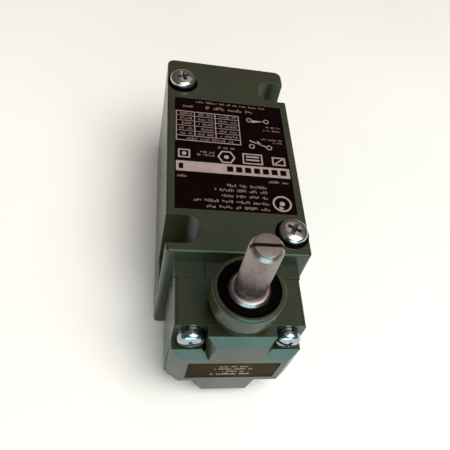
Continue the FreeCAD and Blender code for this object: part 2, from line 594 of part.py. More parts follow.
def contact_carrier():
    """Sliding carrier whose button the followers press."""
    stack = [block("carrier_body", ("-carrier_half", "carrier_half"), ("carrier_start", "carrier_end"),
                   ("carrier_low", "carrier_high")),
             block("carrier_neck", ("-neck_half", "neck_half"), ("cap_under", "carrier_start"),
                   ("neck_low", "neck_high")),
             block("carrier_cap", ("-cap_half", "cap_half"), ("cap_top", "cap_under"),
                   ("cap_low", "cap_high"))]
    windows = [
        block("closed_window", ("-case_wide", "case_wide"),
              ("closed_bar", "closed_bar + bridge_thick + bridge_room"),
              ("bridge_low - gap", "bridge_high + gap")),
        block("open_window", ("-case_wide", "case_wide"),
              ("open_bar - bridge_room", "open_bar + bridge_thick"),
              ("bridge_low - gap", "bridge_high + gap")),
    ]
    node("contact_carrier", cut("contact_carrier", fuse("carrier_solid", *stack), *windows))


def contacts():
    fixed_contacts("closed_fixed_contacts", "closed_strip",
                   ("closed_strip + strip_thick / 2", "closed_strip + strip_thick + pad_fixed"))
    fixed_contacts("open_fixed_contacts", "open_strip",
                   ("open_strip - pad_fixed", "open_strip + strip_thick / 2"))
    contact_carrier()
    bridge_contact("closed_bridge_contact", "closed_bar", ("closed_bar - pad_thick", "closed_bar + pad_sink"))
    bridge_contact("open_bridge_contact", "open_bar",
                   ("open_bar + pad_sink", "open_bar + bridge_thick + pad_thick"))
    spans = [("closed_bar + bridge_thick", "closed_bar + bridge_thick + bridge_room"),
             ("open_bar - bridge_room", "open_bar")]
    springs = [coil("pressure_spring", "y", (0, "bridge_at"), span, "pressure_coil", "pressure_pitch",
                    "pressure_wire") for span in spans]
    node("bridge_springs", group("bridge_springs", springs))
    node("carrier_spring", coil("carrier_spring", "y", (0, "bridge_at"),
                                ("carrier_end", "block_end - block_wall"),
                                "carrier_coil", "carrier_pitch", "wire_rad"))


# ---------------------------------------------------------------- head

def cross_outline(name, level, bump, reach, inner, shelf, side):
    """Cross-shaped outline of the raised head top, symmetric about its middle."""
    quarter = [(bump, reach), (inner, shelf), (side, shelf)]
    corners = [(x, z) for x, z in quarter]
    corners += [(x, "-" + z) for x, z in reversed(quarter)]
    corners += [("-" + x, "-" + z) for x, z in quarter]
    corners += [("-" + x, z) for x, z in reversed(quarter)]
    sketch = doc.addObject("Sketcher::SketchObject", name)
    sketch.Placement = Placement(Vector(), FACING_HEAD)
    bind(sketch, "Placement.Base.y", level)
    bind(sketch, "Placement.Base.z", "head_mid")
    points = [Vector(signed(x), signed(z), 0) for x, z in corners]
    count = len(points)
    for index in range(count):
        sketch.addGeometry(Part.LineSegment(points[index], points[(index + 1) % count]))
    for index, (x, z) in enumerate(corners):
        sketch.addConstraint(Sketcher.Constraint("Coincident", index, 2, (index + 1) % count, 1))
        for kind, word in (("DistanceX", x), ("DistanceY", z)):
            place = sketch.addConstraint(Sketcher.Constraint(kind, -1, 1, index, 1, signed(word)))
            bind(sketch, f"Constraints[{place}]", word)
    return sketch


def signed(word):
    """Value of an alias, which may have a minus sign in front."""
    return -SIZES[word[1:]] if word.startswith("-") else SIZES[word]


def raised_top():
    levels = [cross_outline("top_foot", "bevel_foot", "foot_bump", "foot_reach", "foot_inner", "foot_shelf",
                            "foot_side"),
              cross_outline("top_face", "head_top", "top_bump", "top_reach", "top_inner", "top_shelf",
                            "top_side")]
    crown = doc.addObject("Part::Loft", "crown")
    crown.Sections = levels
    crown.Solid = True
    crown.Ruled = True
    walls = doc.addObject("Part::Extrusion", "crown_walls")
    walls.Base = levels[0]
    walls.DirMode = "Custom"
    walls.Dir = Vector(0, 1, 0)
    walls.Solid = True
    bind(walls, "LengthFwd", "ledge - bevel_foot + lap")
    return [crown, walls]


def head_edge(edge):
    """Radii of the head's corners, wider at its back."""
    if not runs_along(edge, Vector(0, 1, 0)):
        return 0
    return SIZES["head_back_rad"] if edge.CenterOfMass.z < SIZES["head_mid"] else SIZES["head_corner_rad"]


def rim_edge(edge):
    on_rim = edge.CenterOfMass.z > SIZES["boss_front"] - SIZES["gap"] and len(edge.Vertexes) == 1
    return SIZES["edge_rad"] if on_rim else 0


def head_housing():
    head_z = ("(head_mid - head_half)", "(head_mid + head_half)")
    cube = rounded("head_cube", drafted("head_block", "head_wide", head_z[1], ("ledge", "head_end"), head_z),
                   head_edge)
    neck = rod("boss_neck_rod", "z", (0, "axis_along"), ("head_mid", "boss_neck"), "boss_neck_rad")
    flare = taper("boss_flare", AXIS_AT, ("boss_neck", "boss_skirt"), "boss_neck_rad", "boss_rad")
    collar = rod("boss_rod", "z", (0, "axis_along"), ("boss_skirt", "boss_front"), "boss_rad")
    boss = rounded("boss", fuse("boss_solid", neck, flare, collar), rim_edge)
    cutters = [
        block("cam_room", ("-cam_room_half", "cam_room_half"), ("cam_room_top", "cam_room_floor + gap"),
              ("cam_room_back", "cam_room_front")),
        block("guide_room", ("-guide_half", "guide_half"), ("cam_room_floor", "head_end + lap"),
              ("guide_back", "guide_front")),
        rod("rear_bore", "z", (0, "axis_along"), ("rear_bore_low", "cam_room_back + lap"), "rear_bore_rad"),
        rod("front_bore", "z", (0, "axis_along"), ("cam_room_front - lap", "boss_front"), "front_bore_rad"),
        rod("seal_bore", "z", (0, "axis_along"), ("seal_seat", "boss_front + lap"), "seal_bore_rad"),
        block("plate_recess", ("-plate_half - gap", "plate_half + gap"),
              ("head_top - lap", "head_top + plate_sink"),
              ("head_mid - plate_tall - gap", "head_mid + plate_tall + gap")),
    ]
    for side, across in (("left", ("-case_wide", "-tab_inner + fit_gap")), ("right", ("tab_inner - fit_gap",
                                                                                     "case_wide"))):
        for end, up in (("back", ("0", "head_mid - head_half + tab_size + fit_gap")),
                        ("front", ("head_mid + head_half - tab_size - fit_gap", "case_deep + lap"))):
            cutters.append(block(f"notch_{side}_{end}", across,
                                 ("head_end - tab_high - fit_gap", "head_end + lap"),
                                 up))
    for label, x, height in head_screw_places():
        cutters.append(rod(f"head_hole_{label}", "y", (x, height), ("ledge - lap", "head_end"),
                           "screw_clear_rad"))
    node("head_housing", cut("head_housing", fuse("head_solid", cube, boss, *raised_top()), *cutters))
    node("head_nameplate", block("head_nameplate", ("-plate_half", "plate_half"),
                                 ("head_top + plate_sink - plate_thick", "head_top + plate_sink"),
                                 ("head_mid - plate_tall", "head_mid + plate_tall")))


def head_fasteners():
    screws, washers = [], []
    for label, x, height in head_screw_places():
        under = "ledge - lock_thick"
        screws.append(pan_screw(f"head_screw_{label}", "head_screw_rad", "head_screw_high", "screw_rad",
                                f"head_screw_end - ({under})", (x, under, height), FACING_HEAD))
        washers.append(tube(f"lock_washer_{label}", "y", (x, height), (under, "ledge"), "lock_rad",
                            "screw_rad"))
    node("head_screws", group("head_screws", screws))
    node("head_screw_washers", group("head_screw_washers", washers))
    node("head_gasket", seal_frame("head_gasket", "head_end"))


AXIS_AT = (0, "axis_along")


def shaft_supports():
    bore = "shaft_rad + bushing_clear"
    node("front_bushing", tube("front_bushing", "z", AXIS_AT, ("cam_room_front", "seal_seat"),
                               "front_bore_rad",
                               bore))
    node("rear_bushing", tube("rear_bushing", "z", AXIS_AT, ("rear_bore_low", "cam_room_back"),
                              "rear_bore_rad",
                              bore))
    node("shaft_seal", tube("shaft_seal", "z", AXIS_AT, ("seal_seat", "boss_front - seal_drop"),
                            "seal_bore_rad",
                            "flange_rad + seal_clear"))


def operating_shaft():
    stack = [rod("shaft_rod", "z", AXIS_AT, ("shaft_rear", "shaft_tip - tip_chamfer"), "shaft_rad"),
             rod("shaft_flange", "z", AXIS_AT, ("flange_low", "flange_top"), "flange_rad"),
             rod("shaft_shoulder", "z", AXIS_AT, ("flange_low", "shoulder_top"), "shoulder_rad"),
             taper("shaft_tip_cone", AXIS_AT, ("shaft_tip - tip_chamfer", "shaft_tip"), "shaft_rad",
                   "tip_rad")]
    cutters = [
        block("driver_slot", ("-case_wide", "case_wide"),
              ("axis_along - drive_slot / 2", "axis_along + drive_slot / 2"),
              ("shaft_tip - drive_deep", "shaft_tip + lap")),
        tube("oring_groove", "z", AXIS_AT, ("oring_at - groove_half", "oring_at + groove_half"),
             "shaft_rad + lap",
             "groove_rad"),
        tube("ring_groove", "z", AXIS_AT, ("ring_low", "ring_high"), "shaft_rad + lap", "ring_groove_rad"),
        block("shaft_keyway", ("-key_half", "key_half"), ("axis_along - key_high", "axis_along - key_low"),
              ("cam_ccw_at - cam_half", "cam_cw_at + cam_half")),
    ]
    node("operating_shaft", cut("operating_shaft", fuse("shaft_solid", *stack), *cutters))
    oring = doc.addObject("Part::Torus", "shaft_oring")
    bind(oring, "Radius1", "oring_major")
    bind(oring, "Radius2", "oring_rad")
    bind(oring, "Placement.Base.y", "axis_along")
    bind(oring, "Placement.Base.z", "oring_at")
    node("shaft_oring", oring)
    node("cam_key", block("cam_key", ("-key_half", "key_half"),
                          ("axis_along - key_high", "axis_along - key_low"),
                          ("cam_ccw_at - cam_half", "cam_cw_at + cam_half")))
    snap = tube("ring_band", "z", AXIS_AT, ("ring_low", "ring_high"), "ring_rad", "ring_groove_rad")
    gap = block("ring_mouth", ("-ring_gap", "ring_gap"), ("axis_along", "axis_along + ring_rad + lap"),
                (0, "case_deep"))
    node("retaining_ring", cut("retaining_ring", snap, gap))
    node("thrust_washer", tube("thrust_washer", "z", AXIS_AT, ("washer_low", "washer_high"), "washer_rad",
                               "shaft_rad + bushing_clear"))


def spiral_cam(name, height, way):
    """Plate cam whose radius changes evenly with its angle, so a follower moves in step with the shaft.

    way is +1 where a positive turn of the shaft pushes the follower down, and -1 on its mirror image.
    """
    mean, rise = SIZES["cam_mean"], SIZES["cam_rise"]
    half_arc = math.radians(SIZES["cam_turn"] + SIZES["cam_over"])
    low, high = mean - rise * half_arc, mean + rise * half_arc

    def at(angle, radius):
        turned = math.pi / 2 + angle
        return Vector(way * radius * math.cos(turned), radius * math.sin(turned), 0)

    back_arc = 2 * math.pi - 2 * half_arc
    shares = [step / CAM_STEPS for step in range(CAM_STEPS + 1)]
    working = [at(half_arc * (2 * share - 1), high - (high - low) * share) for share in shares]
    closing = [at(half_arc + back_arc * share, low + (high - low) * share) for share in shares]
    edges = []
    for points in (working, closing):
        curve = Part.BSplineCurve()
        curve.interpolate(points)
        edges.append(curve.toShape())
    thick = 2 * SIZES["cam_half"]
    plate = Part.Face(Part.Wire(edges)).extrude(Vector(0, 0, thick))
    key, clear = SIZES["key_half"], SIZES["key_clear"]
    keyway = Part.makeBox(2 * (key + clear), SIZES["key_high"] + clear, thick,
                          Vector(-key - clear, -SIZES["key_high"] - clear, 0))
    bored = plate.cut(Part.makeCylinder(SIZES["shaft_rad"], thick)).cut(keyway)
    cam = doc.addObject("Part::Feature", name)
    cam.Shape = bored
    bind(cam, "Placement.Base.y", "axis_along")
    bind(cam, "Placement.Base.z", f"{height} - cam_half")
    node(name, cam)


ROLLER_ALONG = "(axis_along + cam_mean + roller_gap + roller_rad)"


def follower(turn, height):
    """Sliding follower with a roller on top and a stem that reaches down to the contact block."""
    spread = f"{height} - fork_half", f"{height} + fork_half"
    head = block(f"fork_{turn}", ("-fork_half", "fork_half"),
                 (f"{ROLLER_ALONG} - fork_above", "fork_bottom"), spread)
    stem = rod(f"stem_{turn}", "y", (0, height), ("fork_bottom - stem_root", "stem_end"), "stem_rad")
    slot = block(f"fork_slot_{turn}", ("-case_wide", "case_wide"),
                 ("head_top", f"{ROLLER_ALONG} + roller_rad + fit_gap"),
                 (f"{height} - fork_slot_half", f"{height} + fork_slot_half"))
    hole = rod(f"pin_hole_{turn}", "z", (0, ROLLER_ALONG), spread, "roller_pin_rad")
    node(f"follower_{turn}", cut(f"follower_{turn}", fuse(f"follower_solid_{turn}", head, stem), slot, hole))
    node(f"roller_pin_{turn}", rod(f"roller_pin_{turn}", "z", (0, ROLLER_ALONG), spread, "roller_pin_rad"))
    node(f"roller_{turn}", tube(f"roller_{turn}", "z", (0, ROLLER_ALONG), (f"{height} - roller_half",
                                f"{height} + roller_half"), "roller_rad", "roller_pin_rad + roller_clear"))
    node(f"follower_spring_{turn}", coil(f"follower_spring_{turn}", "y", (0, height),
                                         ("fork_bottom", "web_low"),
                                         "follower_coil", "follower_pitch", "wire_rad"))


def follower_guide():
    plate = block("guide_plate", ("-guide_half + guide_clear", "guide_half - guide_clear"),
                  ("cam_room_floor + guide_drop", "head_end"),
                  ("guide_back + guide_clear", "guide_front - guide_clear"))
    half = "fork_half + window_clear"
    windows = [block("guide_window", (f"-({half})", half), ("head_top", 0), (f"{height} - ({half})",
                     f"{height} + ({half})")) for height in ("cam_ccw_at", "cam_cw_at")]
    node("follower_guide", cut("follower_guide", plate, *windows))


def main():
    make_sheet()
    base_housing()
    base_gasket()
    terminal_board()
    terminals()
    ground_screw()
    body_housing()
    label_plate()
    captive_screws()
    contact_case()
    contact_block_screws()
    contacts()
    head_housing()
    head_fasteners()
    shaft_supports()
    operating_shaft()
    spiral_cam("cam_ccw", "cam_ccw_at", -1)
    spiral_cam("cam_cw", "cam_cw_at", 1)
    follower_guide()
    follower("ccw", "cam_ccw_at")
    follower("cw", "cam_cw_at")
    node("return_spring", coil("return_spring", "z", AXIS_AT, ("return_low", "return_high"), "return_coil",
                               "return_pitch", "return_wire"))
    doc.recompute()
    check_and_export()


def check_and_export():
    for thing in doc.Objects:
        if "Invalid" in thing.State or "Error" in thing.State:
            raise RuntimeError(f"{thing.Label} failed: {thing.State}")
    for thing in nodes:
        if thing.Shape.isNull() or not thing.Shape.isValid():
            raise RuntimeError(f"{thing.Label} has no valid shape")
    os.makedirs("parts", exist_ok=True)
    for thing in nodes:
        thing.Shape.exportStep(f"parts/{thing.Label}.step")
        box = thing.Shape.BoundBox
        spans = (box.XMin, box.XMax), (box.YMin, box.YMax), (box.ZMin, box.ZMax)
        print(f"{thing.Label:26s}", len(thing.Shape.Solids),
              *(f"{low:7.2f} {high:7.2f}" for low, high in spans))


main()
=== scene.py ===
"""Looks of a rotary limit switch lying on its back, with its head towards the camera.

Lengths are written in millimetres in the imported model's frame, and MM turns them into metres.
"""
import json
import math
import random

import bmesh
import bpy
from mathutils import Matrix, Vector


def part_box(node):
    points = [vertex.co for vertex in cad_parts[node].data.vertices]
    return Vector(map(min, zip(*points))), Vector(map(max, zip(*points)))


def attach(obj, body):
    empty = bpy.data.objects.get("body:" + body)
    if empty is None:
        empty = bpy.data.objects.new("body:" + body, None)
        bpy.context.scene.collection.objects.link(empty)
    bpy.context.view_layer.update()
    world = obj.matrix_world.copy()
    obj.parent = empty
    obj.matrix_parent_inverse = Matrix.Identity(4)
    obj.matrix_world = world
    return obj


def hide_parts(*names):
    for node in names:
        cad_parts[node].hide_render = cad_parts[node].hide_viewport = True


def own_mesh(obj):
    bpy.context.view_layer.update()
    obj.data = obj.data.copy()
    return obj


MM = 0.001
AXIS = (0.0, -50.35)  # X and Y of the operating shaft
FACING_HEAD = Matrix.Rotation(math.radians(90), 4, "X")  # turns +Z to the end of the head

scene = bpy.context.scene
scene.view_settings.view_transform = "Standard"


def shift(x, y, z):
    """Matrix that moves by an offset in mm."""
    return Matrix.Translation(Vector((x, y, z)) * MM)


def spin(degrees):
    """Matrix that turns about Z."""
    return Matrix.Rotation(math.radians(degrees), 4, "Z")


# ---------------------------------------------------------------- camera and stage

def make_camera():
    data = bpy.data.cameras.new("camera")
    data.lens = 40.42
    data.sensor_width = 36.0
    data.shift_x = -0.0667
    data.shift_y = 0.0162
    data.clip_start = 0.005
    data.clip_end = 20.0
    camera = bpy.data.objects.new("camera", data)
    camera.location = Vector((-27.18, -107.83, 154.11)) * MM
    camera.rotation_euler = [math.radians(angle) for angle in (35.289, -12.406, -5.114)]
    scene.collection.objects.link(camera)
    scene.camera = camera


def area_light(name, place, aim, size, power, colour):
    """Soft rectangular light at place, in mm, pointing at aim."""
    data = bpy.data.lights.new(name, "AREA")
    data.shape = "RECTANGLE"
    data.size = size[0] * MM
    data.size_y = size[1] * MM
    data.energy = power
    data.color = colour
    light = bpy.data.objects.new(name, data)
    light.location = Vector(place) * MM
    light.rotation_euler = (Vector(aim) - Vector(place)).to_track_quat("-Z", "Y").to_euler()
    scene.collection.objects.link(light)
    return light


def make_stage():
    bpy.ops.mesh.primitive_plane_add(size=6.0, location=(0, 0, 0))
    floor = bpy.context.object
    floor.name = "floor"
    floor.data.materials.append(surface("pale_floor", (0.86, 0.86, 0.86), 0.75, mottle=(9, 0.02),
                                        grain=(160, 0.02)))
    world = bpy.data.worlds.new("studio")
    scene.world = world
    world.use_nodes = True
    background = world.node_tree.nodes["Background"]
    background.inputs["Color"].default_value = (1.0, 0.98, 0.94, 1.0)
    background.inputs["Strength"].default_value = 0.12
    area_light("key", place=(290, -330, 990), aim=(0, 0, 20), size=(860, 860), power=14.5,
               colour=(1.0, 0.955, 0.88))
    area_light("window", place=(-60, -1060, 240), aim=(0, -40, 20), size=(1200, 420), power=7.2,
               colour=(0.50, 0.95, 1.0))
    area_light("ceiling", place=(290, 700, 1000), aim=(0, 0, 40), size=(700, 700), power=0.75,
               colour=(1.0, 0.86, 0.74))
    warm = area_light("warm_side", place=(-320, -20, 60), aim=(0, 0, 20), size=(160, 90), power=0.3,
                      colour=(1.0, 0.42, 0.30))
    warm.visible_glossy = False


# ---------------------------------------------------------------- materials

ROUGHNESS_SPREAD = 0.06
BUMP_DEPTH = 0.1  # mm
WORN_EDGES = (0.54, 0.62)  # pointiness at which the wear starts and is complete
WORN_SHARE = 0.55
OPEN_SKY = (0.25, 0.75)  # ambient occlusion at which the painted shade is complete and is gone


def surface(name, colour, roughness, metallic=0.0, mottle=(300, 0.12), grain=(1500, 0.15), worn=None,
            brushed=(1, 1, 1), specular=0.5, sheen=(1, 1, 1), crevice_shade=None):
    """Procedural finish: uneven colour and gloss, a fine bumpy grain, worn convex edges, and painted
    shade in narrow places.

    mottle and grain are (noise scale, strength), brushed scales the grain's noise along each axis, worn
    is the colour of the edges, sheen tints the reflections, and crevice_shade is (colour, reach in mm) of
    the painted shade that darkens narrow places by ambient occlusion.
    """
    material = bpy.data.materials.new(name)
    material.use_nodes = True
    tree = material.node_tree
    shader = tree.nodes["Principled BSDF"]
    shader.inputs["Metallic"].default_value = metallic
    shader.inputs["Specular IOR Level"].default_value = specular
    shader.inputs["Specular Tint"].default_value = (*sheen, 1.0)
    place = tree.nodes.new("ShaderNodeTexCoord")

    def noise(scale, detail, stretch=(1, 1, 1)):
        mapping = tree.nodes.new("ShaderNodeMapping")
        mapping.inputs["Scale"].default_value = stretch
        texture = tree.nodes.new("ShaderNodeTexNoise")
        texture.inputs["Scale"].default_value = scale
        texture.inputs["Detail"].default_value = detail
        tree.links.new(place.outputs["Object"], mapping.inputs["Vector"])
        tree.links.new(mapping.outputs["Vector"], texture.inputs["Vector"])
        return texture.outputs["Fac"]

    def ranged(value, low, high, start=0.3, end=0.7):
        node = tree.nodes.new("ShaderNodeMapRange")
        for socket, number in (("From Min", start), ("From Max", end), ("To Min", low), ("To Max", high)):
            node.inputs[socket].default_value = number
        tree.links.new(value, node.inputs["Value"])
        return node.outputs["Result"]

    def mixed(factor, first, second):
        """Blend of two colours; each is three numbers or the socket that gives it."""
        node = tree.nodes.new("ShaderNodeMix")
        node.data_type = "RGBA"
        for socket, value in (("A", first), ("B", second)):
            if isinstance(value, bpy.types.NodeSocket):
                tree.links.new(value, node.inputs[socket])
            else:
                node.inputs[socket].default_value = (*value, 1.0)
        tree.links.new(factor, node.inputs["Factor"])
        return node.outputs["Result"]

    dark, light = [[min(1.0, part * factor) for part in colour]
                   for factor in (1 - mottle[1], 1 + mottle[1])]
    result = mixed(ranged(noise(mottle[0], 4.0), 0.0, 1.0), dark, light)
    if worn:
        geometry = tree.nodes.new("ShaderNodeNewGeometry")
        result = mixed(ranged(geometry.outputs["Pointiness"], 0.0, WORN_SHARE, *WORN_EDGES), result, worn)
    # painted shade: the colour darkens where ambient occlusion finds narrow places
    if crevice_shade:
        shade = tree.nodes.new("ShaderNodeAmbientOcclusion")
        shade.samples = 8
        shade.inputs["Distance"].default_value = crevice_shade[1] * MM
        result = mixed(ranged(shade.outputs["AO"], 0.0, 1.0, *OPEN_SKY), crevice_shade[0], result)
    tree.links.new(result, shader.inputs["Base Color"])
    gloss = ranged(noise(mottle[0] * 2.3, 3.0), max(0.02, roughness - ROUGHNESS_SPREAD),
                   min(1.0, roughness + ROUGHNESS_SPREAD))
    tree.links.new(gloss, shader.inputs["Roughness"])
    bump = tree.nodes.new("ShaderNodeBump")
    bump.inputs["Strength"].default_value = grain[1]
    bump.inputs["Distance"].default_value = BUMP_DEPTH * MM
    tree.links.new(noise(grain[0], 5.0, brushed), bump.inputs["Height"])
    tree.links.new(bump.outputs["Normal"], shader.inputs["Normal"])
    return material


def make_materials():
    # the last argument of the enamel, zinc and steel finishes is painted shade in their narrow places
    return {
        "paint": surface("olive_enamel", (0.027, 0.0248, 0.0112), 0.27, mottle=(60, 0.14),
                         grain=(900, 0.08), specular=0.40, sheen=(0.42, 0.93, 1.0),
                         crevice_shade=((0.010, 0.010, 0.005), 1.2)),
        # lighter teal enamel on the rounded edges of painted parts: partly worn thin paint, partly a
        # painted highlight
        "edge_wear_and_highlight": surface("thin_enamel_and_painted_highlight", (0.080, 0.112, 0.112), 0.24, mottle=(260, 0.35),
                              grain=(900, 0.08), specular=0.6, sheen=(0.6, 1.0, 1.0),
                              crevice_shade=((0.012, 0.012, 0.006), 1.2)),
        # darker metal on the faces of the screws' cross recesses and slots: painted shade
        "recess": surface("painted_recess_shade", (0.13, 0.12, 0.11), 0.45, metallic=1.0, mottle=(900, 0.30)),
        "faint_print": surface("faint_print", (0.150, 0.098, 0.090), 0.55, specular=0.1,
                               mottle=(500, 0.20), grain=(1500, 0.05)),
        # dark material on the faces of the shaft's slots: painted shade
        "slot_shade": surface("painted_shade_in_slots", (0.030, 0.020, 0.014), 0.60, metallic=0.5, mottle=(900, 0.30)),
        "zinc": surface("bright_zinc", (0.50, 0.49, 0.48), 0.22, metallic=1.0, mottle=(700, 0.10),
                        grain=(2500, 0.03), crevice_shade=((0.05, 0.045, 0.04), 0.9)),
        "zinc_blue": surface("blue_zinc", (0.36, 0.43, 0.47), 0.22, metallic=1.0, mottle=(700, 0.10),
                             grain=(2500, 0.03), crevice_shade=((0.05, 0.045, 0.04), 0.9)),
        "shaft_steel": surface("plated_steel", (0.30, 0.25, 0.245), 0.34, metallic=1.0,
                               mottle=(500, 0.08), grain=(3000, 0.03), worn=(0.62, 0.54, 0.53),
                               crevice_shade=((0.06, 0.04, 0.03), 0.9)),
        "inner_steel": surface("machined_steel", (0.50, 0.50, 0.51), 0.36, metallic=1.0,
                               brushed=(1, 1, 14)),
        "spring_steel": surface("spring_wire", (0.42, 0.42, 0.43), 0.30, metallic=1.0),
        "bronze": surface("sintered_bronze", (0.55, 0.38, 0.20), 0.48, metallic=1.0,
                          grain=(2600, 0.35)),
        "brass": surface("contact_brass", (0.78, 0.60, 0.28), 0.30, metallic=1.0, brushed=(14, 1, 1)),
        "rubber": surface("black_rubber", (0.0016, 0.0008, 0.0010), 0.60, mottle=(400, 0.25),
                          grain=(1800, 0.12), specular=0.012),
        "phenolic": surface("dark_phenolic", (0.045, 0.035, 0.030), 0.50, mottle=(900, 0.25)),
        "nylon": surface("natural_nylon", (0.78, 0.76, 0.68), 0.45, mottle=(200, 0.05)),
        "label": surface("label_film", (0.0036, 0.0010, 0.0009), 0.30, specular=0.02, mottle=(120, 0.30),
                         grain=(700, 0.05)),
        "nameplate": surface("nameplate_film", (0.027, 0.015, 0.003), 0.36, mottle=(160, 0.45),
                             grain=(700, 0.05), specular=0.008),
        "print": surface("pale_print", (0.31, 0.24, 0.235), 0.55, specular=0.2, mottle=(500, 0.12),
                         grain=(1500, 0.05)),
    }


# ---------------------------------------------------------------- mesh helpers

def new_piece(name, mesh, material):
    piece = bpy.data.objects.new(name, mesh)
    scene.collection.objects.link(piece)
    mesh.materials.append(material)
    return piece


def mesh_of(name, source):
    """Mesh made from a closed bmesh, which is used up."""
    mesh = bpy.data.meshes.new(name)
    bmesh.ops.recalc_face_normals(source, faces=source.faces)
    source.to_mesh(mesh)
    source.free()
    return mesh


def finished(name, source, material, angle=30):
    """Piece made from a bmesh, with the edges flatter than angle shaded smooth."""
    piece = new_piece(name, mesh_of(name, source), material)
    smooth(piece, angle)
    return piece


def rounded(piece, width, angle, segments):
    """Bevel modifier, width in mm, on the edges sharper than angle."""
    bevel = piece.modifiers.new("rounding", "BEVEL")
    bevel.width = width * MM
    bevel.segments = segments
    bevel.limit_method = "ANGLE"
    bevel.angle_limit = math.radians(angle)
    return bevel


def smooth(piece, angle):
    piece.data.polygons.foreach_set("use_smooth", [True] * len(piece.data.polygons))
    piece.data.set_sharp_from_angle(angle=math.radians(angle))


def bake(piece):
    """Replace the mesh of a piece by the result of its modifiers."""
    bpy.context.view_layer.update()
    shaped = piece.evaluated_get(bpy.context.evaluated_depsgraph_get())
    mesh = bpy.data.meshes.new_from_object(shaped)
    old = piece.data
    piece.modifiers.clear()
    piece.data = mesh
    mesh.name = old.name
    bpy.data.meshes.remove(old)


def carve(piece, *cutters, shade=None):
    """Cut closed bmeshes out of a piece; the faces they leave take the material shade."""
    if shade:
        piece.data.materials.append(shade)
    for number, source in enumerate(cutters):
        for face in source.faces:
            face.material_index = 1 if shade else 0
        mesh = mesh_of(f"cutter_{number}", source)
        tool = bpy.data.objects.new(f"cutter_{number}", mesh)
        scene.collection.objects.link(tool)
        cut = piece.modifiers.new("cut", "BOOLEAN")
        cut.operation = "DIFFERENCE"
        cut.solver = "EXACT"
        cut.object = tool
        bake(piece)
        bpy.data.objects.remove(tool)
        bpy.data.meshes.remove(mesh)


def skin(shape, low, high):
    """Side faces between two rings with the same number of vertices."""
    for step in range(len(low)):
        after = (step + 1) % len(low)
        shape.faces.new((low[step], low[after], high[after], high[step]))


def lathe(profile, segments, ripple=None):
    """Closed solid of revolution about Z, in mm, from (radius, height) points listed bottom to top.

    A profile gets flat ends, unless it is a ring, which starts and ends at the same point.
    ripple(angle, height) is added to the radius.
    """
    shape = bmesh.new()
    rings = []
    looped = profile[0] == profile[-1]
    for radius, height in profile[:-1] if looped else profile:
        ring = []
        for step in range(segments):
            angle = 2 * math.pi * step / segments
            reach = radius + (ripple(angle, height) if ripple else 0.0)
            spot = (reach * MM * math.cos(angle), reach * MM * math.sin(angle), height * MM)
            ring.append(shape.verts.new(spot))
        rings.append(ring)
    pairs = list(zip(rings, rings[1:]))
    if looped:
        pairs.append((rings[-1], rings[0]))
    else:
        shape.faces.new(list(reversed(rings[0])))
        shape.faces.new(rings[-1])
    for low, high in pairs:
        skin(shape, low, high)
    return shape


def box(low, high):
    """Closed box between two corners, in mm."""
    shape = bmesh.new()
    bmesh.ops.create_cube(shape, size=1.0)
    for vertex in shape.verts:
        for axis in range(3):
            share = vertex.co[axis] + 0.5
            vertex.co[axis] = (low[axis] + (high[axis] - low[axis]) * share) * MM
    return shape


def cross_cutter(reach, half, floor, top, floor_share=0.35):
    """Tapered cross recess that gets smaller towards its floor."""
    shape = bmesh.new()
    outline = [(half, reach), (half, half), (reach, half), (reach, -half), (half, -half), (half, -reach),
               (-half, -reach), (-half, -half), (-reach, -half), (-reach, half), (-half, half),
               (-half, reach)]
    low, high = [[shape.verts.new((x * share * MM, y * share * MM, height * MM)) for x, y in outline]
                 for height, share in ((floor, floor_share), (top, 1.0))]
    skin(shape, low, high)
    shape.faces.new(list(reversed(low)))
    shape.faces.new(high)
    return shape


def joined(name, pieces):
    """One piece out of several."""
    bpy.ops.object.select_all(action="DESELECT")
    for piece in pieces:
        piece.select_set(True)
    bpy.context.view_layer.objects.active = pieces[0]
    bpy.ops.object.join()
    pieces[0].name = name
    pieces[0].data.name = name
    return pieces[0]


def stand_for(piece, node, body):
    """Let a piece ride on a body in place of a CAD node."""
    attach(piece, body)
    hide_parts(node)


# ---------------------------------------------------------------- shaft and screws

SHAFT_RAD = 3.97
KNURL_TEETH = 48
STEPS_PER_TOOTH = 6
KNURL_DEPTH = 0.20
KNURL_LOW = 50.5
KNURL_HIGH = 66.45
FADE_LOW = 0.5  # height over which the serrations fade out at the flange end
FADE_HIGH = 0.25
TIP_SLOT = ((-6, -0.45, 66.6), (6, 0.45, 69))
KEY_SLOT = ((-1, -4.9, 18.5), (1, -2.8, 30.7))


def knurl(angle, height):
    """Depth of the straight serrations at an angle; they fade out at both ends."""
    if not KNURL_LOW < height < KNURL_HIGH:
        return 0.0
    fade = min(1.0, (height - KNURL_LOW) / FADE_LOW, (KNURL_HIGH - height) / FADE_HIGH)
    return -KNURL_DEPTH * fade * (0.5 - 0.5 * math.cos(KNURL_TEETH * angle)) ** 0.8


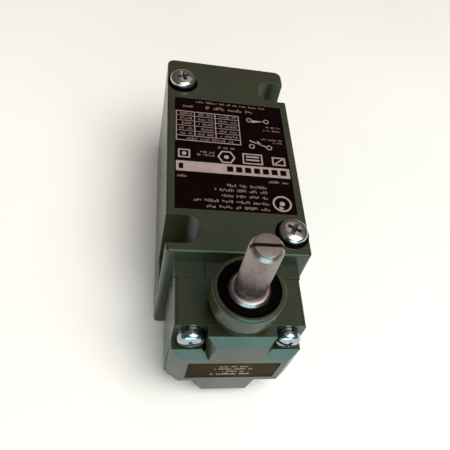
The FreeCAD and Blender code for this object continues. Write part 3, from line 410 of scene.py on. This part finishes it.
def make_shaft(finish, slot_shade):
    """Shaft with its flange, ring grooves, key slot, knurled end and the slot in its tip."""
    rad, crease = SHAFT_RAD, 24
    profile = [(3.6, 7.4), (rad, 7.8), (rad, 31.0), (3.3, 31.0), (3.3, 31.7), (rad, 31.7), (rad, 41.1),
               (3.0, 41.1), (3.0, 42.9), (rad, 42.9), (rad, 47.6), (5.35, 47.6), (5.45, 47.7),
               (5.45, 48.5), (5.38, 48.68), (4.80, 49.28), (4.62, 49.35), (4.1, 49.35), (4.0, 49.45),
               (rad, KNURL_LOW)]
    profile += [(rad, 50.6 + 0.1 * step) for step in range(5)]
    profile += [(rad, 52.0 + step) for step in range(15)]
    profile += [(rad, 66.2), (rad, 66.3), (rad, KNURL_HIGH), (3.93, 66.62), (3.2, 67.66), (3.06, 67.77),
                (2.9, 67.8)]
    solid = lathe(profile, KNURL_TEETH * STEPS_PER_TOOTH, knurl)
    shaft = finished("knurled_shaft", solid, finish, angle=crease)
    # the faces cut by the slots take the painted shade material
    carve(shaft, box(*TIP_SLOT), box(*KEY_SLOT), shade=slot_shade)
    smooth(shaft, crease)
    shaft.data.transform(shift(*AXIS, 0))
    stand_for(shaft, "operating_shaft", "shaft")


# outline of a pan head and its recesses, as shares of its radius and its height
DOME = ((0.995, 0.10), (1.0, 0.22), (0.995, 0.42), (0.97, 0.58), (0.92, 0.70), (0.84, 0.80), (0.72, 0.88),
        (0.56, 0.945), (0.36, 0.985), (0.16, 1.0))
UNDERSIDE_RAD = 0.96
CROSS_REACH = 0.56
CROSS_FLOOR = 0.1
SLOT_FLOOR = 0.42


def make_screw(name, finish, recess, head_rad, head_high, shank_rad, shank_long, cross_half, slot_half=0):
    """Pan-head screw with a cross recess, and a slot if it has a width; its seat is at Z = 0."""
    profile = [(shank_rad - 0.4, -shank_long), (shank_rad, 0.5 - shank_long), (shank_rad, 0),
               (head_rad * UNDERSIDE_RAD, 0)]
    profile += [(head_rad * across, head_high * up) for across, up in DOME]
    screw = finished(name, lathe(profile, 72), finish)
    cutters = [cross_cutter(head_rad * CROSS_REACH, cross_half, head_high * CROSS_FLOOR, head_high + 0.2)]
    if slot_half:
        cutters.insert(0, box((-head_rad - 1, -slot_half, head_high * SLOT_FLOOR),
                              (head_rad + 1, slot_half, head_high + 1)))
    # the recess faces take the painted shade material
    carve(screw, *cutters, shade=recess)
    rounded(screw, width=0.07, angle=40, segments=2)
    bake(screw)
    smooth(screw, 35)
    return screw


def copies(source, places):
    """Copies of a piece, one for each matrix; the source is used up."""
    made = []
    for place in places:
        mesh = source.data.copy()
        mesh.transform(place)
        piece = bpy.data.objects.new(source.name, mesh)
        scene.collection.objects.link(piece)
        made.append(piece)
    bpy.data.objects.remove(source)
    return made


# x, z and turn of each screw of the head; x, y, z of the point and turn of each captive screw
HEAD_SCREWS = ((-12.7, 8.2, 67), (-12.7, 33.6, 12), (12.7, 8.2, 31), (12.7, 33.6, -24))
CAPTIVE_SCREWS = ((15.1, -29.75, 8.0, 62), (-15.1, 29.75, 19.0, 20))
HEAD_SCREW_SEAT_Y = -56.15
WASHER_SEAT_Y = -55.25
WASHER_TURN = 100  # from the recess of its screw to the split of a washer
CAPTIVE_SEAT_Z = 43.4
RING_SEAT_Z = 42.5
WASHER = [(2.02, 0.0), (3.2, 0.0), (3.3, 0.1), (3.3, 0.8), (3.2, 0.9), (2.02, 0.9), (2.02, 0.0)]
RING = [(2.02, 0.0), (4.8, 0.0), (4.9, 0.1), (4.9, 0.6), (4.75, 0.82), (4.5, 0.9), (2.02, 0.9),
        (2.02, 0.0)]


def make_head_screws(look):
    """Four screws with a slot and a cross, each on a split lock washer."""
    source = make_screw("head_screw", look["zinc_blue"], look["recess"], head_rad=3.5, head_high=2.7,
                        shank_rad=2.0, shank_long=21.55, cross_half=0.50, slot_half=0.46)
    places = [shift(x, HEAD_SCREW_SEAT_Y, z) @ FACING_HEAD @ spin(turn) for x, z, turn in HEAD_SCREWS]
    stand_for(joined("head_screws_bright", copies(source, places)), "head_screws", "housing")
    source = finished("washer", lathe(WASHER, 64), look["zinc_blue"])
    carve(source, box((2, -0.25, -1), (5, 0.25, 2)))
    smooth(source, 30)
    places = [shift(x, WASHER_SEAT_Y, z) @ FACING_HEAD @ spin(turn + WASHER_TURN)
              for x, z, turn in HEAD_SCREWS]
    washers = joined("split_lock_washers", copies(source, places))
    stand_for(washers, "head_screw_washers", "housing")


def make_captive_screws(look):
    """Two long screws with a cross only, each in a black sealing ring."""
    made = []
    for x, y, point, turn in CAPTIVE_SCREWS:
        source = make_screw("captive", look["zinc"], look["recess"], head_rad=4.15, head_high=2.42,
                            shank_rad=2.0, shank_long=CAPTIVE_SEAT_Z - point, cross_half=0.62)
        made += copies(source, [shift(x, y, CAPTIVE_SEAT_Z) @ spin(turn)])
    stand_for(joined("captive_screws_bright", made), "captive_screws", "housing")
    source = finished("seal", lathe(RING, 64), look["rubber"])
    places = [shift(x, y, RING_SEAT_Z) for x, y, _, _ in CAPTIVE_SCREWS]
    rings = joined("captive_screw_rings", copies(source, places))
    stand_for(rings, "captive_screw_seals", "housing")


def make_seal(finish):
    """Rubber seal round the shaft, with a raised lip at its bore and a shallow valley."""
    profile = [(5.57, 45.4), (8.1, 45.4), (8.1, 48.0), (7.95, 48.2), (7.6, 48.15), (7.2, 47.95),
               (6.5, 47.9), (6.1, 48.0), (5.85, 48.15), (5.65, 48.15), (5.57, 48.05), (5.57, 45.4)]
    seal = finished("shaft_lip_seal", lathe(profile, 96), finish, angle=40)
    seal.data.transform(shift(*AXIS, 0))
    stand_for(seal, "shaft_seal", "housing")


CONDUIT_Z = 13.8
THREAD_TURNS = 7
THREAD_PITCH = 1.814


def make_conduit_thread(finish):
    """Seven plain ridges that line the conduit bore like a thread."""
    start, end = 28.0, 41.0
    wall, root, crest = 10.02, 10.0, 9.74
    profile = [(wall, start)]
    for turn in range(THREAD_TURNS):
        low = start + 0.15 + turn * THREAD_PITCH
        profile += [(radius, low + THREAD_PITCH * share)
                    for radius, share in ((root, 0.0), (crest, 0.42), (crest, 0.52), (root, 0.94))]
    profile += [(wall, end), (wall, start)]
    thread = finished("conduit_thread", lathe(profile, 96), finish, angle=25)
    thread.data.transform(shift(0, 0, CONDUIT_Z) @ Matrix.Rotation(math.radians(-90), 4, "X"))
    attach(thread, "housing")


def coil(low, high, wire, turns, steps=40, sides=10):
    """Closed wire coil along Y that fills the box between two corners, in mm."""
    shape = bmesh.new()
    center = [(low[axis] + high[axis]) / 2 for axis in range(3)]
    mean = (high[2] - low[2]) / 2 - wire
    span = high[1] - low[1] - 2 * wire
    rings = []
    for step in range(turns * steps + 1):
        angle = 2 * math.pi * step / steps
        outward = Vector((math.cos(angle), 0, math.sin(angle)))
        middle = Vector((center[0], low[1] + wire + span * step / (turns * steps), center[2]))
        spot = middle + outward * mean
        rise = span / (2 * math.pi * turns)
        along = Vector((-math.sin(angle) * mean, rise, math.cos(angle) * mean)).normalized()
        across = along.cross(outward)
        around = (2 * math.pi * side / sides for side in range(sides))
        rings.append([shape.verts.new((spot + wire * (math.cos(a) * outward + math.sin(a) * across)) * MM)
                      for a in around])
    for near, far in zip(rings, rings[1:]):
        skin(shape, near, far)
    shape.faces.new(rings[0])
    shape.faces.new(list(reversed(rings[-1])))
    return shape


WIRE_RAD = 0.3
SPRING_TURNS = 4


def make_springs(finish):
    """Compression springs, each wound to fill the box of the node it stands for."""
    for node, joint, travel in (("follower_spring_cw", "follower_cw_slide", 1.43),
                                ("follower_spring_ccw", "follower_ccw_slide", 1.43),
                                ("carrier_spring", "carrier_slide", 1.5)):
        low, high = [Vector(corner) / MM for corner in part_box(node)]
        spring = finished(node + "_wound", coil(low, high, WIRE_RAD, SPRING_TURNS), finish, angle=50)
        stand_for(spring, node, "housing")
        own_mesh(spring)


# ---------------------------------------------------------------- printed marks

PRINT_THICK = 0.03
DASH_WIDTHS = (0.38, 0.78)  # shares of a row's height
DASH_FILL = 0.72
GROUP_GAP = 0.8


class Print:
    """Flat raised marks drawn on a plane; x runs right and y runs up, in mm."""

    def __init__(self):
        self.shape = bmesh.new()

    def outline(self, points, hole=None):
        """Thin prism over a closed outline, or between it and an inner one with as many points."""
        rims = [points, hole] if hole else [points]
        low, high = [], []
        for rim in rims:
            for level, height in ((low, 0), (high, PRINT_THICK * MM)):
                level.append([self.shape.verts.new((x * MM, y * MM, height)) for x, y in rim])
        for bottom, top in zip(low, high):
            skin(self.shape, bottom, top)
        if hole:
            skin(self.shape, *low)
            skin(self.shape, *high)
        else:
            self.shape.faces.new(list(reversed(low[0])))
            self.shape.faces.new(high[0])

    def bar(self, left, bottom, right, top):
        self.outline(rectangle(left, bottom, right, top))

    def frame(self, left, bottom, right, top, line):
        self.outline(rectangle(left, bottom, right, top),
                     rectangle(left + line, bottom + line, right - line, top - line))

    def stroke(self, start, end, width):
        (x1, y1), (x2, y2) = start, end
        length = math.hypot(x2 - x1, y2 - y1)
        across, along = -(y2 - y1) / length * width / 2, (x2 - x1) / length * width / 2
        self.outline([(x1 + across, y1 + along), (x1 - across, y1 - along), (x2 - across, y2 - along),
                      (x2 + across, y2 + along)])

    def disc(self, x, y, radius):
        self.outline(polygon(x, y, radius))

    def ring(self, x, y, radius, line, sides=40):
        self.outline(polygon(x, y, radius, sides), polygon(x, y, radius - line, sides))

    def dashes(self, left, right, y, high, dice):
        """Row of small upright dashes in uneven groups, which only suggests lettering from afar."""
        x = left
        while x < right - DASH_WIDTHS[0]:
            for _ in range(dice.randint(3, 8)):
                wide = high * dice.uniform(*DASH_WIDTHS)
                if x + wide > right:
                    return
                drop = dice.choice((0.0, 0.0, 0.25, 0.45)) * high
                rise = dice.choice((0.0, 0.0, 0.3)) * high
                if drop + rise > high * 0.6:
                    rise = 0.0
                self.bar(x, y - high / 2 + drop, x + wide * DASH_FILL, y + high / 2 - rise)
                x += wide
            x += high * GROUP_GAP

    def piece(self, name, finish, place):
        mark = finished(name, self.shape, finish, angle=60)
        mark.data.transform(place)
        return mark


def rectangle(left, bottom, right, top):
    return [(left, bottom), (right, bottom), (right, top), (left, top)]


def polygon(x, y, radius, sides=40):
    """Points round a centre; a circle when there are many."""
    return [(x + radius * math.cos(a), y + radius * math.sin(a))
            for a in (2 * math.pi * step / sides for step in range(sides))]


LABEL_TOP = 42.95
SUNK = 0.005  # depth of the marks in the plate under them
ON_LABEL = shift(0, 0, LABEL_TOP - SUNK) @ spin(180)
ON_NAMEPLATE = shift(0, -60.795, 20.9) @ FACING_HEAD @ spin(180)


def make_label_print(look):
    """Marks of the front label, upright with the head at the top: x is -X and y is -Y of the model."""
    dice = random.Random(7)
    pale, faint, dark = Print(), Print(), Print()
    # the block nearest the head: a plain round mark, five short rows, and captions for the band
    pale.ring(-13.5, 19.2, 2.9, 0.55)
    pale.disc(-13.5, 19.2, 0.8)
    pale.outline([(-13.9, 20.9), (-12.4, 21.7), (-12.5, 20.0)])
    for left, right, y in ((-9.5, 9.0, 21.65), (-9.5, 12.8, 19.6), (-9.3, 5.2, 17.5), (-9.3, 6.5, 15.4),
                           (-9.3, 3.0, 13.6)):
        faint.dashes(left, right, y, 1.05, dice)
    faint.dashes(-16.3, -10.0, 11.1, 0.95, dice)
    faint.dashes(14.2, 17.3, 11.1, 0.95, dice)
    # full-width band with equal dark blocks, and one apart
    pale.bar(-17.3, 5.35, 17.3, 9.3)
    for step in range(7):
        dark.bar(-16.2 + 2.75 * step, 6.2, -14.3 + 2.75 * step, 8.3)
    dark.bar(15.2, 6.3, 16.5, 8.4)
    # row of plain symbols
    pale.frame(-16.5, 0.9, -12.2, 4.3, 0.5)
    pale.stroke((-16.1, 1.2), (-12.6, 4.0), 0.45)
    pale.frame(-9.2, 0.3, -2.9, 4.6, 0.45)
    for y in (1.6, 2.9):
        pale.bar(-8.1, y - 0.3, -4.0, y + 0.3)
    pale.ring(2.1, 2.5, 2.8, 0.55, sides=6)
    pale.disc(2.1, 2.5, 0.75)
    faint.dashes(5.8, 11.6, 2.4, 0.8, dice)
    faint.dashes(5.8, 11.4, 1.2, 0.8, dice)
    pale.frame(13.1, 0.6, 16.7, 4.0, 0.45)
    pale.disc(14.9, 2.3, 0.7)
    faint.dashes(-0.6, 5.0, -1.2, 0.8, dice)
    # table of three columns under a heading
    left, right, top, bottom = -2.9, 17.35, -3.0, -16.0
    across, down = 0.08, 0.14  # half the width of the inner lines
    pale.frame(left, bottom, right, top, 0.28)
    pale.bar(left, -5.2, right, -4.98)
    for x in (4.9, 11.5):
        pale.bar(x - down, bottom, x + down, -5.0)
    for row in (-7.3, -9.5, -11.7, -13.9):
        pale.bar(left, row - across, right, row + across)
    faint.dashes(left + 2.5, right - 3, -4.0, 0.85, dice)
    for row in (-6.2, -8.4, -10.6, -12.8, -14.9):
        for start, end in ((left + 1.0, 4.2), (5.7, 10.8), (12.3, 16.6)):
            faint.dashes(start, end, row, 0.95, dice)
    # two contact symbols and their captions
    contact_symbol(pale, -11.9, -6.3, -3.0, closed=False)
    contact_symbol(pale, -12.0, -6.3, -14.7, closed=True)
    for start, end, y in ((-16.3, -13.0, -5.3), (-16.3, -9.2, -6.5), (-16.4, -10.3, -10.6),
                          (-16.5, -11.2, -12.1)):
        faint.dashes(start, end, y, 0.7, dice)
    # bottom rows
    faint.dashes(-7.5, 8.6, -18.45, 1.35, dice)
    faint.dashes(11.9, 16.1, -18.3, 0.95, dice)
    faint.dashes(-12.0, 12.2, -20.8, 0.8, dice)
    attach(pale.piece("label_marks", look["print"], ON_LABEL), "housing")
    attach(faint.piece("label_small_marks", look["faint_print"], ON_LABEL), "housing")
    lift = shift(0, 0, PRINT_THICK / 2)
    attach(dark.piece("label_band_blocks", look["label"], lift @ ON_LABEL), "housing")


def contact_symbol(marks, left, right, y, closed):
    """Two terminals and the lever between them."""
    marks.ring(left, y, 0.95, 0.3)
    marks.ring(right, y, 0.95, 0.3)
    if closed:
        marks.outline([(left + 0.9, y + 0.15), (right - 1.0, y + 1.1), (right - 0.2, y + 0.2),
                       (right - 1.0, y - 0.1)])
        return
    marks.stroke((left + 0.8, y - 0.2), (right + 0.6, y - 2.4), 0.4)
    marks.outline([(left + 2.0, y - 0.7), (left + 3.6, y - 2.6), (left + 4.0, y - 1.4)])


def make_nameplate_print(look):
    """Rows of small dashes on the plate at the end of the head."""
    dice = random.Random(3)
    marks = Print()
    for left, right, y, high in ((-5.2, 6.4, 2.9, 1.15), (-3.4, 2.9, 0.9, 0.8), (-5.4, 5.4, -0.9, 0.8),
                                 (-4.0, 4.2, -2.6, 0.8)):
        marks.dashes(left, right, y, high, dice)
    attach(marks.piece("nameplate_marks", look["print"], ON_NAMEPLATE), "housing")


# ---------------------------------------------------------------- the CAD pieces

# width in mm of the rounding on each node that gets one
SOFT_EDGES = {"base_housing": 0.35, "body_housing": 0.35, "head_housing": 0.40, "base_gasket": 0.1,
              "label_plate": 0.06, "head_nameplate": 0.06, "contact_cover": 0.2, "contact_case": 0.2,
              "terminal_board": 0.2, "terminal_block": 0.2, "saddle_clamps": 0.1,
              "contact_carrier": 0.15, "follower_guide": 0.1}
WELD_REACH = 0.002  # mm
FLAT_ANGLE = 0.6  # degrees


def dress(nodes, record, look):
    """Give every CAD node its finish, and round the edges that show; the rounded edges of painted nodes
    get a lighter teal enamel, partly worn thin paint and partly a painted highlight.
    """
    slots = {row["node"]: row["material_slot"] for row in record["subparts"]}
    for name, thing in nodes.items():
        thing.data.materials.clear()
        thing.data.materials.append(look[slots[name]])
        # painted nodes get a second material for their rounded edges, a painted highlight on partly worn
        # paint
        if slots[name] == "paint":
            thing.data.materials.append(look["edge_wear_and_highlight"])
        width = SOFT_EDGES.get(name)
        if not width:
            continue
        weld = thing.modifiers.new("weld", "WELD")
        weld.merge_threshold = WELD_REACH * MM
        flat = thing.modifiers.new("flat", "DECIMATE")
        flat.decimate_type = "DISSOLVE"
        flat.angle_limit = math.radians(FLAT_ANGLE)
        rounding = rounded(thing, width=width, angle=28, segments=3)
        rounding.harden_normals = True
        # the rounded edges take the lighter enamel, partly wear and partly a painted highlight
        if slots[name] == "paint":
            rounding.material = 1
        even = thing.modifiers.new("even", "WEIGHTED_NORMAL")
        even.keep_sharp = True


make_camera()
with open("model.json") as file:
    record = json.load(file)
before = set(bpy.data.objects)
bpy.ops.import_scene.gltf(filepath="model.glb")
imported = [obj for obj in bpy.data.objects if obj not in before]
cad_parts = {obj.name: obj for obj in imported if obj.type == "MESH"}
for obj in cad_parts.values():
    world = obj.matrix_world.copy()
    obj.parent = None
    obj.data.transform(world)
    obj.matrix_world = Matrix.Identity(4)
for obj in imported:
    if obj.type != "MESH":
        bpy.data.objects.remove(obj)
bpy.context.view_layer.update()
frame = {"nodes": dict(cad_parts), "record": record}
look = make_materials()
make_stage()
dress(frame["nodes"], frame["record"], look)
make_shaft(look["shaft_steel"], look["slot_shade"])
make_head_screws(look)
make_captive_screws(look)
make_seal(look["rubber"])
make_conduit_thread(look["paint"])
make_springs(look["spring_steel"])
make_label_print(look)
make_nameplate_print(look)
